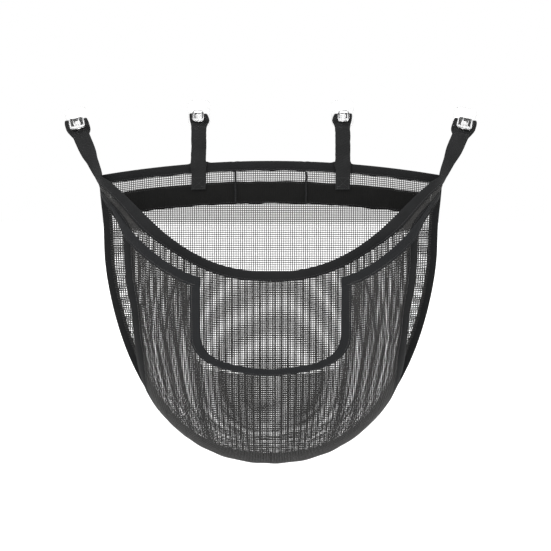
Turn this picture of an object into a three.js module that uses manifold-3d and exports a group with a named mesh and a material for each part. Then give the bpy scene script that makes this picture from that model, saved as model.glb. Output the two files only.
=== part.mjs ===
// Hanging half-round mesh organizer bag with an open front pocket.
// Millimetres. X to the right, Y into the wall, Z up. The wall is y = 0 and the bag hangs at negative y.
// The origin lies on the wall, midway between the four hooks, level with the inner pair.
import * as THREE from 'three';
import { mergeVertices } from 'three/addons/utils/BufferGeometryUtils.js';
import Module from 'manifold-3d';

const wasm = await Module();
wasm.setup();

// Clearances between neighbouring pieces
const fit_gap = 0.3;
const sheet_gap = 0.5;
const seam_gap = 0.9;

// Bag outline: an arched top edge over a half-round body
const bag_half_width = 224;
const body_height = 378;
const outline_power = 2.35;
const arch_rise = 19;
const hang_drop = 58;
const corner_z = -hang_drop - arch_rise;

// Cloth and tapes
const mesh_thickness = 1.2;
const binding_width = 12.5;
const binding_thickness = 3;
const wall_clearance = 0.9;
const band_height = 29;
const band_drop = 26.3;
const band_thickness = 1.6;
const stay_width = 3;
const stay_thickness = 1;
const stay_offset = 46;
const net_openings_across = 12;
const net_bar_width = 8;
const net_border = 3;
const net_least_opening_share = 0.12;

// Body of the bag: depth of the side seams, of the belly and of the pocket
const seam_base_depth = 6;
const side_depth = 88;
const side_inset = 37;
const belly_depth = 114;
const mouth_drop = 111;
const mouth_reach = 4;
const seam_start_drop = 22;
const front_mesh_drop = 52;
const pocket_seam_drop = 92;
const pocket_room = 44;
const pocket_seam_room = 3.6;

// Shares that shape the side seam, the mouth and the belly
const seam_rise_shares = [0.02, 0.2];
const seam_fall_shares = [0.4, 0.85];
const seam_depth_power = 0.8;
const mouth_power = 2.1;
const mouth_fall_power = 1.2;
const belly_fall_power = 5;
const pocket_fall_power = 6;
const belly_round_power = 0.6;
const root_power = 0.5;
const pocket_round_power = 1.1;
const gusset_end_share = 0.78;
const gusset_flat_share = 0.9;
const gusset_corner_depth_share = 0.1;
const gusset_bend_start_share = 0.6;
const gusset_bend_end_share = 0.2;
const twist_shares = [0, 0.9];
const cutout_foot_share = 0.3;
const cutout_sag_share = 0.12;
const front_mesh_mouth_share = 0.2;
const front_pairing_power = 1.45;
const pocket_slope_start_share = 0.12;
const pocket_slope_end_share = 0.88;
const pocket_slope_seam_share = 0.13;
const pocket_turn_share = 0.002;

// Pocket edge: two slopes down to a U-shaped cut-out
const cutout_half_width = 87;
const cutout_bottom_drop = 233;
const cutout_corner = 34;
const cutout_tape_width = 11;
const cutout_foot_width = 8.5;
const slope_low_drop = 118;
const slope_rise = 66;
const slope_outer_x = 190;
const slope_power = 1.45;

// Straps, their hanging loops, the wall hooks and the adhesive pads
const strap_width = 20;
const strap_thickness = 1.6;
const inner_hook_x = 93;
const outer_hook_reach = 26;
const outer_hook_x = bag_half_width + outer_hook_reach;
const outer_hook_drop = 9.5;
const outer_hook_tilt = THREE.MathUtils.degToRad(12);
const pad_thickness = 1;
const pad_width = 26;
const pad_height = 32;
const plate_width = 28;
const plate_height = 34;
const plate_thickness = 2.6;
const plate_corner = 6;
const plate_lift = 3;
const stem_width = 8;
const stem_height = 4.4;
const stem_lift = -0.6;
const stem_length = 14;
const head_width = 14.2;
const head_height = 14;
const head_thickness = 3.4;
const head_corner = 4;
const head_bevel = 0.8;
const loop_hole_width = 15;
const loop_tape = 5;
const loop_thickness = 2.4;
const loop_lift_room = 5.2;
const loop_tab_height = 10;
const loop_tab_width = 17;
const loop_y = -7.2;
const tail_overlap = 8;
const tail_lead = 4;
const strap_bend = 14;
const outer_strap_sewn = 14;

// Places that follow from the sizes above
const back_y = -(wall_clearance + binding_thickness / 2);
const binding_front = wall_clearance + binding_thickness;
const mesh_front = -back_y + mesh_thickness / 2;
const band_front = mesh_front + fit_gap + band_thickness;
const tail_y = -(band_front + fit_gap + strap_thickness / 2);
const plate_y = -(pad_thickness + fit_gap);
const strap_y = loop_y - loop_thickness / 2 - fit_gap - strap_thickness / 2;
const stem_top = stem_lift + stem_height / 2;
const stem_bottom = stem_lift - stem_height / 2;
const loop_hole_top = stem_top + fit_gap;
const loop_hole_bottom = stem_bottom - loop_lift_room - fit_gap;
const strap_top = loop_hole_bottom - sheet_gap;

const black_cloth = { color: 0x26282a, roughness: 0.85, metalness: 0 };
const net_cloth = { color: 0x1b1c1d, roughness: 0.8, metalness: 0 };
const pocket_tape = { color: 0x2b3135, roughness: 0.8, metalness: 0 };
const clear_plastic = { color: 0xe8eef0, roughness: 0.1, metalness: 0, transparent: true, opacity: 0.4 };

const part = new THREE.Group();

function add(name, geometry, finish) {
  const mesh = new THREE.Mesh(geometry, new THREE.MeshStandardMaterial(finish));
  mesh.name = name;
  part.add(mesh);
  return mesh;
}

// Curves of the bag, all as functions of height or of a share along the outline

const heightShare = (z) => THREE.MathUtils.clamp((corner_z - z) / body_height, 0, 1);

function archZ(x) {
  return -hang_drop - arch_rise * (x / bag_half_width) ** 2;
}

function seamBump(share) {
  const rise = THREE.MathUtils.smoothstep(share, ...seam_rise_shares);
  return rise * (1 - THREE.MathUtils.smoothstep(share, ...seam_fall_shares));
}

// Point of the back outline: share 0 is the left top corner, share 1 the right one.
function outlinePoint(share) {
  const angle = Math.PI * share;
  const side = -Math.sign(Math.cos(angle));
  const across = Math.abs(Math.cos(angle)) ** (2 / outline_power);
  const down = Math.max(Math.sin(angle), 0) ** (2 / outline_power);
  return new THREE.Vector2(side * bag_half_width * across, corner_z - body_height * down);
}

function seamPoint(share) {
  const point = outlinePoint(share);
  point.x -= Math.sign(point.x) * side_inset * seamBump(heightShare(point.y));
  return point;
}

function inward(curve, share) {
  const step = 1e-4;
  const tangent = curve(Math.min(share + step, 1)).sub(curve(Math.max(share - step, 0))).normalize();
  return new THREE.Vector2(-tangent.y, tangent.x);
}

function inset(curve, share, distance) {
  return curve(share).addScaledVector(inward(curve, share), distance);
}

function frontHalfWidth(share) {
  const outline = bag_half_width * Math.max(1 - share ** outline_power, 0) ** (1 / outline_power);
  return Math.max(outline - side_inset * seamBump(share), fit_gap);
}

function seamDepth(share) {
  return seam_base_depth + side_depth * seamBump(share) ** seam_depth_power;
}

// Depth of the main front sheet, and of the pocket sheet that lies outside it
function frontDepth(x, z) {
  const share = heightShare(z);
  const across = Math.min(Math.abs(x) / frontHalfWidth(share), 1);
  const centre = seam_base_depth + belly_depth * (1 - share ** belly_fall_power) ** root_power;
  const seam = seamDepth(share);
  return seam + Math.max(centre - seam, 0) * (1 - across ** 2) ** belly_round_power;
}

function pocketDepth(x, z) {
  const share = heightShare(z);
  const across = Math.min(Math.abs(x) / frontHalfWidth(share), 1);
  const fullness = ((1 - across ** 2) * (1 - share ** pocket_fall_power)) ** pocket_round_power;
  return frontDepth(x, z) + pocket_seam_room + pocket_room * fullness;
}

function mouthZ(x) {
  const share = Math.min(Math.abs(x) / bag_half_width, 1);
  return corner_z - mouth_drop * (1 - share ** mouth_power) ** mouth_fall_power;
}

function slopeZ(x) {
  const share = Math.max(Math.abs(x) - cutout_half_width, 0) / (slope_outer_x - cutout_half_width);
  return corner_z - slope_low_drop + slope_rise * share ** slope_power;
}

// Sheets: closed solids between two rows of plane points, lifted to a surface and thickened across it

const flatSurface = (depth) => (x, z) => new THREE.Vector3(x, -depth, z);
const frontSurface = (x, z) => new THREE.Vector3(x, -frontDepth(x, z), z);
const pocketSurface = (x, z) => new THREE.Vector3(x, -pocketDepth(x, z), z);

function ruled(first, second, rows, place) {
  const grid = [];
  for (let row = 0; row <= rows; row += 1) {
    grid.push(first.map((point, i) => {
      const between = point.clone().lerp(second[i], row / rows);
      return place(between.x, between.y);
    }));
  }
  return grid;
}

function gridNormal(grid, row, column) {
  const rows = grid.length - 1;
  const columns = grid[0].length - 1;
  const along = grid[row][Math.min(column + 1, columns)].clone().sub(grid[row][Math.max(column - 1, 0)]);
  const down = grid[Math.min(row + 1, rows)][column].clone().sub(grid[Math.max(row - 1, 0)][column]);
  return along.cross(down).normalize();
}

function quad(indices, a, b, c, d) {
  indices.push(a, b, c, a, c, d);
}

// Closed solid from a grid of points: one layer each side of it and a wall all the way round
function sheet(grid, thickness) {
  const rows = grid.length;
  const columns = grid[0].length;
  const positions = [];
  for (const side of [thickness / 2, -thickness / 2]) {
    for (let row = 0; row < rows; row += 1) {
      for (let column = 0; column < columns; column += 1) {
        const normal = gridNormal(grid, row, column);
        const point = grid[row][column].clone().addScaledVector(normal, side);
        positions.push(point.x, point.y, point.z);
      }
    }
  }
  const layer = rows * columns;
  const at = (side, row, column) => side * layer + row * columns + column;
  const indices = [];
  for (let row = 0; row < rows - 1; row += 1) {
    for (let column = 0; column < columns - 1; column += 1) {
      const a = at(0, row, column);
      const b = at(0, row, column + 1);
      const c = at(0, row + 1, column + 1);
      const d = at(0, row + 1, column);
      quad(indices, a, b, c, d);
      quad(indices, a + layer, d + layer, c + layer, b + layer);
    }
  }
  for (let column = 0; column < columns - 1; column += 1) {
    const last = rows - 1;
    quad(indices, at(0, 0, column), at(1, 0, column), at(1, 0, column + 1), at(0, 0, column + 1));
    quad(indices, at(0, last, column), at(0, last, column + 1), at(1, last, column + 1), at(1, last, column));
  }
  for (let row = 0; row < rows - 1; row += 1) {
    const last = columns - 1;
    quad(indices, at(0, row, 0), at(0, row + 1, 0), at(1, row + 1, 0), at(1, row, 0));
    quad(indices, at(0, row, last), at(1, row, last), at(1, row + 1, last), at(0, row + 1, last));
  }
  return outwards(closedGeometry(positions, indices));
}

function closedGeometry(positions, indices) {
  const geometry = new THREE.BufferGeometry();
  geometry.setAttribute('position', new THREE.Float32BufferAttribute(positions, 3));
  geometry.setIndex(indices);
  return geometry;
}

function signedVolume(geometry) {
  const index = geometry.index.array;
  const point = (i) => new THREE.Vector3().fromBufferAttribute(geometry.attributes.position, index[i]);
  let volume = 0;
  for (let i = 0; i < index.length; i += 3) {
    volume += point(i).dot(point(i + 1).cross(point(i + 2)));
  }
  return volume;
}

function outwards(geometry) {
  if (signedVolume(geometry) < 0) {
    geometry.index.array.reverse();
  }
  return geometry;
}

function samples(count, from, to) {
  return Array.from({ length: count + 1 }, (_, i) => from + (to - from) * i / count);
}

// In-plane inset at which a tape that starts on a curve has covered its own width across the surface
function tapeInset(curve, share, width, depthAt) {
  const steps = 80;
  let covered = 0;
  let before = null;
  for (let i = 0; i <= steps; i += 1) {
    const distance = width * (i / steps) ** 2;
    const point = inset(curve, share, distance);
    const here = new THREE.Vector3(point.x, -depthAt(point.x, point.y), point.y);
    covered += before ? here.distanceTo(before) : 0;
    if (covered >= width) {
      return distance;
    }
    before = here;
  }
  return width;
}

// Share along the outline at which it has dropped by a given height below the corner
function shareAtDrop(drop) {
  return Math.asin((drop / body_height) ** (outline_power / 2)) / Math.PI;
}

// Flat cloth cut through by a plain grid of openings, each of them kept inside a border
function coarseNet(panel, inside, width, top_edge) {
  const pitch = (width - net_bar_width) / net_openings_across;
  const opening = pitch - net_bar_width;
  const high = Math.max(...top_edge.map((point) => point.y));
  const rows = Math.ceil((high - corner_z + body_height) / pitch);
  const window = new THREE.BoxGeometry(opening, 2 * binding_thickness, opening);
  const border = solid(inside);
  let net = solid(panel);
  for (let row = 0; row < rows; row += 1) {
    for (let column = 0; column < net_openings_across; column += 1) {
      const x = (column - (net_openings_across - 1) / 2) * pitch;
      const hole = window.clone().translate(x, back_y, high - row * pitch - opening / 2);
      const cut = solid(hole).intersect(border);
      if (cut.volume() > net_least_opening_share * opening * opening * mesh_thickness) {
        net = net.subtract(cut);
      }
    }
  }
  return fromManifold(net);
}

// Back panel
function backPanel() {
  const edge_share = shareAtDrop(binding_width + sheet_gap);
  const shares = samples(64, edge_share, 1 - edge_share);
  const outer = shares.map((share) => outlinePoint(share));
  const inner = shares.map((share) => inset(outlinePoint, share, binding_width));
  const at_back = flatSurface(-back_y);
  add('back_edge_binding', sheet(ruled(outer, inner, 1, at_back), binding_thickness), black_cloth);

  const across = samples(36, -bag_half_width, bag_half_width);
  const top = across.map((x) => new THREE.Vector2(x, archZ(x)));
  const top_foot = across.map((x) => new THREE.Vector2(x, archZ(x) - binding_width));
  add('back_top_binding', sheet(ruled(top, top_foot, 1, at_back), binding_thickness), black_cloth);

  const panel_inset = binding_width + sheet_gap;
  const round = shares.map((share) => inset(outlinePoint, share, panel_inset));
  const width = round.at(-1).x;
  const start = shares.map((share, i) => {
    const x = width * (2 * i / (shares.length - 1) - 1);
    return new THREE.Vector2(x, archZ(x) - panel_inset);
  });
  start.forEach((point, i) => {
    round[i].y = Math.min(round[i].y, point.y - sheet_gap);
  });
  const panel = sheet(ruled(start, round, 6, at_back), mesh_thickness);
  const inside_edge = shares.map((share) => inset(outlinePoint, share, panel_inset + net_border));
  const inside_top = start.map((point) => new THREE.Vector2(point.x, point.y - net_border));
  inside_top.forEach((point, i) => {
    point.x = THREE.MathUtils.clamp(point.x, inside_edge[0].x, inside_edge.at(-1).x);
    inside_edge[i].y = Math.min(inside_edge[i].y, point.y - sheet_gap);
  });
  const cutting_depth = mesh_thickness + binding_thickness;
  const inside = sheet(ruled(inside_top, inside_edge, 6, at_back), cutting_depth);
  add('back_mesh', coarseNet(panel, inside, 2 * width, inside_top), net_cloth);

  const band_reach = (drop) => {
    const share = shareAtDrop(Math.max(drop, 0));
    return Math.abs(inset(outlinePoint, share, binding_width + band_thickness + sheet_gap).x);
  };
  const high = band_reach(band_drop);
  const low = band_reach(band_drop + band_height);
  const under_arch = (x, drop) => new THREE.Vector2(x, archZ(x) - drop);
  const band_shares = samples(32, -1, 1);
  const band_top = band_shares.map((share) => under_arch(share * high, band_drop));
  const band_foot = band_shares.map((share) => under_arch(share * low, band_drop + band_height));
  const at_band = flatSurface(mesh_front + fit_gap + band_thickness / 2);
  add('back_band', sheet(ruled(band_top, band_foot, 1, at_band), band_thickness), black_cloth);

  for (const [name, side] of [['left', -1], ['right', 1]]) {
    const x = side * stay_offset;
    const ends = [archZ(x) - panel_inset, archZ(x) - band_drop - band_height];
    const edge = (shift) => ends.map((z) => new THREE.Vector2(x + shift, z));
    const depth = band_front + fit_gap + stay_thickness / 2;
    const stay = ruled(edge(-stay_width / 2), edge(stay_width / 2), 1, flatSurface(depth));
    add(`back_stay_${name}`, sheet(stay, stay_thickness), black_cloth);
  }
}

// Section of a gusset: nearly flat beside the back edge, then round a bend and forward to the side seam
function gussetSection(start, seam) {
  const corner = start.clone().lerp(seam, gusset_flat_share);
  corner.y = THREE.MathUtils.lerp(start.y, seam.y, gusset_corner_depth_share);
  const back = corner.clone().sub(seam).normalize();
  const end = seam.clone().addScaledVector(back, (binding_thickness + mesh_thickness) / 2 + seam_gap);
  const bend = new THREE.QuadraticBezierCurve3(
    start.clone().lerp(corner, gusset_bend_start_share),
    corner,
    corner.clone().lerp(end, gusset_bend_end_share),
  );
  return [start, ...bend.getPoints(5), end];
}

// Gussets: crescents from the back edge out to the side seam
function gussets() {
  const low_share = shareAtDrop(seam_start_drop);
  const high_share = shareAtDrop(body_height * gusset_end_share);
  const sections = samples(48, low_share, high_share).map((share) => {
    const edge = inset(outlinePoint, share, binding_width / 2);
    const side = seamPoint(share);
    const start = new THREE.Vector3(edge.x, -(binding_front + sheet_gap + mesh_thickness / 2), edge.y);
    return gussetSection(start, new THREE.Vector3(side.x, -seamDepth(heightShare(side.y)), side.y));
  });
  for (const [name, side] of [['left', 1], ['right', -1]]) {
    const mirror = new THREE.Vector3(side, 1, 1);
    const grid = sections[0].map((_, row) => sections.map((points) => points[row].clone().multiply(mirror)));
    add(`gusset_mesh_${name}`, sheet(grid, mesh_thickness), net_cloth);
  }
}

// Main front panel with the tape along its mouth and the tape along its seam
function mouthCurve(share) {
  const reach = bag_half_width - mouth_reach;
  const x = -Math.cos(Math.PI * share) * reach;
  return new THREE.Vector2(x, mouthZ(x));
}

function mouthInset(share, distance) {
  return mouthCurve(share).addScaledVector(inward(mouthCurve, share), -distance);
}

function mouthTapeInset(share) {
  const curve = (s) => mouthCurve(1 - s);
  return tapeInset(curve, 1 - share, binding_width, frontDepth);
}

// Inner edge of the seam tape, where the meshes of the front begin
function seamTapeEdge(share, gap) {
  const distance = tapeInset(seamPoint, share, binding_width, frontDepth);
  return inset(seamPoint, share, distance + gap);
}

function frontPanel() {
  const top_shares = samples(56, 0, 1);
  const top = top_shares.map((share) => mouthCurve(share));
  const foot = top_shares.map((share) => mouthInset(share, mouthTapeInset(share)));
  add('front_top_binding', sheet(ruled(top, foot, 2, frontSurface), binding_thickness), black_cloth);

  const first_share = shareAtDrop(seam_start_drop);
  const seam_shares = samples(96, first_share, 1 - first_share);
  const outer = seam_shares.map((share) => seamPoint(share));
  const inner = seam_shares.map((share) => seamTapeEdge(share, 0));
  add('front_seam_binding', sheet(ruled(outer, inner, 2, frontSurface), binding_thickness), black_cloth);

  const mesh_share = shareAtDrop(front_mesh_drop);
  const low = samples(56, -1, 1).map((t) => {
    const away = (0.5 - mesh_share) * (1 - (1 - Math.abs(t)) ** front_pairing_power);
    return seamTapeEdge(0.5 + Math.sign(t) * away, seam_gap);
  });
  const high = samples(56, front_mesh_mouth_share, 1 - front_mesh_mouth_share).map((share) => (
    mouthInset(share, mouthTapeInset(share) + sheet_gap)
  ));
  add('front_mesh', sheet(ruled(high, low, 12, frontSurface), mesh_thickness), net_cloth);
}

// Pocket: a second sheet over the front, its edge taped along two slopes and round the cut-out

// Half of the cut-out's edge from its top corner down to the middle of its foot, moved out by a tape's width
function cutoutHalf(tape, foot, count) {
  const half_width = cutout_half_width + tape;
  const bottom = corner_z - cutout_bottom_drop - foot;
  const corner = cutout_corner + foot;
  const top = slopeZ(cutout_half_width) - binding_width - sheet_gap;
  const path = new THREE.CurvePath();
  const at = (x, z) => new THREE.Vector2(x, z);
  path.add(new THREE.LineCurve(at(-half_width, top), at(-half_width, bottom + corner)));
  path.add(new THREE.QuadraticBezierCurve(
    at(-half_width, bottom + corner),
    at(-half_width, bottom + corner * cutout_foot_share),
    at(-half_width + corner, bottom + corner * cutout_sag_share),
  ));
  path.add(new THREE.QuadraticBezierCurve(
    at(-half_width + corner, bottom + corner * cutout_sag_share),
    at(-half_width / 2, bottom),
    at(0, bottom),
  ));
  return samples(count, 0, 1).map((share) => path.getPointAt(share));
}

function mirrored(points) {
  const other = points.slice(0, -1).reverse().map((point) => new THREE.Vector2(-point.x, point.y));
  return [...points, ...other];
}

function slopeCurve(share) {
  const x = -THREE.MathUtils.lerp(slope_outer_x, cutout_half_width, share);
  return new THREE.Vector2(x, slopeZ(x));
}

function slopeInset(share, distance) {
  return slopeCurve(share).addScaledVector(inward(slopeCurve, share), -distance);
}

function pocketTapes() {
  const shares = samples(20, 0, 1);
  const foot = shares.map((share) => slopeInset(share, binding_width));
  foot[foot.length - 1].x = -cutout_half_width;
  for (const [name, side] of [['left', 1], ['right', -1]]) {
    const turn = (point) => new THREE.Vector2(side * point.x, point.y);
    const grid = ruled(shares.map((share) => turn(slopeCurve(share))), foot.map(turn), 2, pocketSurface);
    add(`pocket_slope_binding_${name}`, sheet(grid, binding_thickness), pocket_tape);
  }
  const inner = mirrored(cutoutHalf(0, 0, 26));
  const outer = mirrored(cutoutHalf(cutout_tape_width, cutout_foot_width, 26));
  add('pocket_cutout_binding', sheet(ruled(inner, outer, 2, pocketSurface), binding_thickness), pocket_tape);
}

function pocketPanel() {
  const slope_shares = samples(14, pocket_slope_start_share, pocket_slope_end_share);
  const slope = slope_shares.map((share) => slopeInset(share, binding_width + sheet_gap));
  const rim = cutoutHalf(cutout_tape_width + sheet_gap, cutout_foot_width + sheet_gap, 24);
  rim[0].y += sheet_gap;
  const edge = mirrored([...slope, ...rim]);
  const start = shareAtDrop(pocket_seam_drop);
  const beside_slope = samples(14, start, pocket_slope_seam_share);
  const beside_rim = samples(24, pocket_slope_seam_share + pocket_turn_share, 0.5);
  const turns = [...beside_slope, ...beside_rim];
  const seam = mirrored(turns.map((share) => seamTapeEdge(share, sheet_gap)));
  add('pocket_mesh', sheet(ruled(edge, seam, 8, pocketSurface), mesh_thickness), net_cloth);
}

// Straps: flat tapes swept along a path, each place with its own width direction
function ribbon(stations, width, thickness) {
  const positions = [];
  stations.forEach(({ point, across }, i) => {
    const before = stations[Math.max(i - 1, 0)].point;
    const after = stations[Math.min(i + 1, stations.length - 1)].point;
    const along = after.clone().sub(before).normalize();
    const normal = along.clone().cross(across).normalize();
    const flat = normal.clone().cross(along).normalize();
    for (const [a, b] of [[-1, -1], [1, -1], [1, 1], [-1, 1]]) {
      const corner = point.clone().addScaledVector(flat, a * width / 2);
      corner.addScaledVector(normal, b * thickness / 2);
      positions.push(corner.x, corner.y, corner.z);
    }
  });
  const indices = [];
  const last = (stations.length - 1) * 4;
  for (let base = 0; base < last; base += 4) {
    for (let side = 0; side < 4; side += 1) {
      const next = (side + 1) % 4;
      quad(indices, base + side, base + next, base + 4 + next, base + 4 + side);
    }
  }
  quad(indices, 3, 2, 1, 0);
  quad(indices, last, last + 1, last + 2, last + 3);
  return outwards(closedGeometry(positions, indices));
}

function innerStrap(side) {
  const across = new THREE.Vector3(1, 0, 0);
  const x = side * inner_hook_x;
  const tail_end = archZ(x) - band_drop - tail_overlap;
  const tail_start = archZ(x) + tail_lead;
  const bend_top = strap_top - loop_tab_height - fit_gap;
  const bend = new THREE.CubicBezierCurve3(
    new THREE.Vector3(x, tail_y, tail_start),
    new THREE.Vector3(x, tail_y, tail_start + strap_bend),
    new THREE.Vector3(x, strap_y, bend_top - strap_bend),
    new THREE.Vector3(x, strap_y, bend_top),
  );
  const end = new THREE.Vector3(x, strap_y, strap_top);
  const points = [new THREE.Vector3(x, tail_y, tail_end), ...bend.getPoints(12), end];
  return ribbon(points.map((point) => ({ point, across })), strap_width, strap_thickness);
}

// Outer strap: sewn edge-on to the corner, it twists a quarter turn on its way up to the tilted hook
function outerStrap(side) {
  const foot_x = bag_half_width + fit_gap + strap_thickness;
  const foot_y = -(wall_clearance + strap_width / 2);
  const tilt = outer_hook_tilt;
  const top = new THREE.Vector3(
    outer_hook_x + strap_top * Math.sin(tilt),
    strap_y,
    -outer_hook_drop + strap_top * Math.cos(tilt),
  );
  const foot = new THREE.Vector3(foot_x, foot_y, corner_z - outer_strap_sewn);
  const edge = new THREE.Vector3(foot_x, foot_y, corner_z);
  const path = new THREE.CubicBezierCurve3(
    edge,
    new THREE.Vector3(foot_x + strap_bend / 2, foot_y, corner_z + strap_bend),
    new THREE.Vector3(top.x - strap_bend * Math.sin(tilt), strap_y, top.z - strap_bend * Math.cos(tilt)),
    top,
  );
  const flat = new THREE.Vector3(Math.cos(tilt), 0, -Math.sin(tilt));
  const stations = [{ point: foot, across: new THREE.Vector3(0, 1, 0) }];
  for (const share of samples(44, 0, 1)) {
    const turn = (1 - THREE.MathUtils.smoothstep(share, ...twist_shares)) * Math.PI / 2;
    const across = flat.clone().multiplyScalar(Math.cos(turn)).add(new THREE.Vector3(0, Math.sin(turn), 0));
    stations.push({ point: path.getPoint(share), across });
  }
  const turned = stations.map(({ point, across }) => ({
    point: point.clone().multiply(new THREE.Vector3(side, 1, 1)),
    across: across.clone().multiply(new THREE.Vector3(side, 1, 1)),
  }));
  return ribbon(turned, strap_width, strap_thickness);
}

// Outline of a rounded rectangle between two heights, for the pieces that face the room
function roundedOutline(Kind, width, low, high, corner) {
  const half = width / 2;
  const shape = new Kind();
  shape.moveTo(-half + corner, low);
  shape.lineTo(half - corner, low);
  shape.quadraticCurveTo(half, low, half, low + corner);
  shape.lineTo(half, high - corner);
  shape.quadraticCurveTo(half, high, half - corner, high);
  shape.lineTo(-half + corner, high);
  shape.quadraticCurveTo(-half, high, -half, high - corner);
  shape.lineTo(-half, low + corner);
  shape.quadraticCurveTo(-half, low, -half + corner, low);
  return shape;
}

// Upright plate of a given outline whose back lies at a depth in front of the wall
function upright(shape, back_depth, thickness, bevel = 0) {
  const geometry = new THREE.ExtrudeGeometry(shape, {
    depth: thickness - 2 * bevel,
    bevelEnabled: bevel > 0,
    bevelThickness: bevel,
    bevelSize: bevel,
    bevelOffset: -bevel,
    bevelSegments: 2,
    curveSegments: 6,
  });
  geometry.translate(0, 0, bevel);
  geometry.rotateX(Math.PI / 2);
  geometry.translate(0, -back_depth, 0);
  return geometry;
}

function bare(geometry) {
  const clean = geometry.clone();
  clean.deleteAttribute('normal');
  clean.deleteAttribute('uv');
  return mergeVertices(clean);
}

function solid(geometry) {
  const clean = bare(geometry);
  return new wasm.Manifold(new wasm.Mesh({
    numProp: 3,
    vertProperties: clean.attributes.position.array,
    triVerts: new Uint32Array(clean.index.array),
  }));
}

function joined(geometries) {
  return fromManifold(geometries.map(solid).reduce((sum, next) => sum.add(next)));
}

function fromManifold(whole) {
  const mesh = whole.getMesh();
  return closedGeometry(Array.from(mesh.vertProperties), Array.from(mesh.triVerts));
}

function hookBody() {
  const plate_depth = -plate_y;
  const plate_low = plate_lift - plate_height / 2;
  const plate_high = plate_low + plate_height;
  const plate_outline = roundedOutline(THREE.Shape, plate_width, plate_low, plate_high, plate_corner);
  const plate = upright(plate_outline, plate_depth, plate_thickness);
  const stem = new THREE.BoxGeometry(stem_width, stem_length + plate_thickness, stem_height);
  stem.translate(0, -(plate_depth + plate_thickness / 2 + stem_length / 2), stem_lift);
  const head = upright(
    roundedOutline(THREE.Shape, head_width, -head_height / 2, head_height / 2, head_corner),
    plate_depth + plate_thickness + stem_length - head_thickness / 4,
    head_thickness,
    head_bevel,
  );
  return joined([plate, stem, head]);
}

function loopBody() {
  const outer_top = loop_hole_top + loop_tape;
  const half = loop_hole_width / 2 + loop_tape;
  const tab = loop_tab_width / 2;
  const tab_low = loop_hole_bottom - loop_tab_height;
  const tab_high = loop_hole_bottom - fit_gap;
  const ear_low = loop_hole_bottom + loop_tape;
  const ear_high = outer_top - loop_tape;
  const shape = new THREE.Shape();
  shape.moveTo(-tab, tab_low);
  shape.lineTo(tab, tab_low);
  shape.lineTo(tab, tab_high);
  shape.bezierCurveTo(half, ear_low, half, ear_high, half - loop_tape, outer_top);
  shape.lineTo(loop_tape - half, outer_top);
  shape.bezierCurveTo(-half, ear_high, -half, ear_low, -tab, tab_high);
  shape.lineTo(-tab, tab_low);
  const hole = roundedOutline(THREE.Path, loop_hole_width, loop_hole_bottom, loop_hole_top, loop_tape / 2);
  shape.holes.push(hole);
  return upright(shape, -loop_y - loop_thickness / 2, loop_thickness);
}

function hangers() {
  const places = [
    ['outer_left', -outer_hook_x, -outer_hook_drop, outer_hook_tilt],
    ['inner_left', -inner_hook_x, 0, 0],
    ['inner_right', inner_hook_x, 0, 0],
    ['outer_right', outer_hook_x, -outer_hook_drop, -outer_hook_tilt],
  ];
  const pad_low = plate_lift - pad_height / 2;
  const pad = roundedOutline(THREE.Shape, pad_width, pad_low, pad_low + pad_height, plate_corner);
  for (const [name, x, z, tilt] of places) {
    const pieces = [
      add(`adhesive_pad_${name}`, upright(pad, 0, pad_thickness), clear_plastic),
      add(`wall_hook_${name}`, hookBody(), clear_plastic),
      add(`hanging_loop_${name}`, loopBody(), black_cloth),
    ];
    for (const piece of pieces) {
      piece.position.set(x, 0, z);
      piece.rotation.y = -tilt;
    }
  }
}

backPanel();
gussets();
frontPanel();
pocketTapes();
pocketPanel();
for (const [name, side] of [['left', -1], ['right', 1]]) {
  add(`strap_inner_${name}`, innerStrap(side), black_cloth);
  add(`strap_outer_${name}`, outerStrap(side), black_cloth);
}
hangers();

export default part;
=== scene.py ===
"""Hanging half-round mesh organizer bag with an open front pocket, in metres.

X to the right, Y into the wall (the plane y = 0), Z up. The origin is on the wall, midway between the hooks.
"""

import math

import bpy
import numpy as np
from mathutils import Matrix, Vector


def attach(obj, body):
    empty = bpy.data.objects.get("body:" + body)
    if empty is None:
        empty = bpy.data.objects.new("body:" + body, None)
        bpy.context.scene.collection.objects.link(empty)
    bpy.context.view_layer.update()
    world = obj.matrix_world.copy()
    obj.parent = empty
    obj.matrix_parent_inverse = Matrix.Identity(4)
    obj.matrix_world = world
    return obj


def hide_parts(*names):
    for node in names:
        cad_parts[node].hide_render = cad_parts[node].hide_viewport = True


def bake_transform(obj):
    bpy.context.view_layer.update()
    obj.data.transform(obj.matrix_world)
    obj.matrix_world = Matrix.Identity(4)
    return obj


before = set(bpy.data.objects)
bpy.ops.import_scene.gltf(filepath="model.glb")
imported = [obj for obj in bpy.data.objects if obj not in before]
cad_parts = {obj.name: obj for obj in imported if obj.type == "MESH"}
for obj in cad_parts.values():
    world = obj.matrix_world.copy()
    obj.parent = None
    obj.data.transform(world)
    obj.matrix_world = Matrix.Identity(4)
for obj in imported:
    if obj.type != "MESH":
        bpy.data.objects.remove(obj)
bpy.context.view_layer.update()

MM = 0.001
scene = bpy.context.scene
SIDES = {"left": -1, "right": 1}
NAMES = {-1: "left", 1: "right"}
TO_ROOM = (0.0, -1.0, 0.0)

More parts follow.
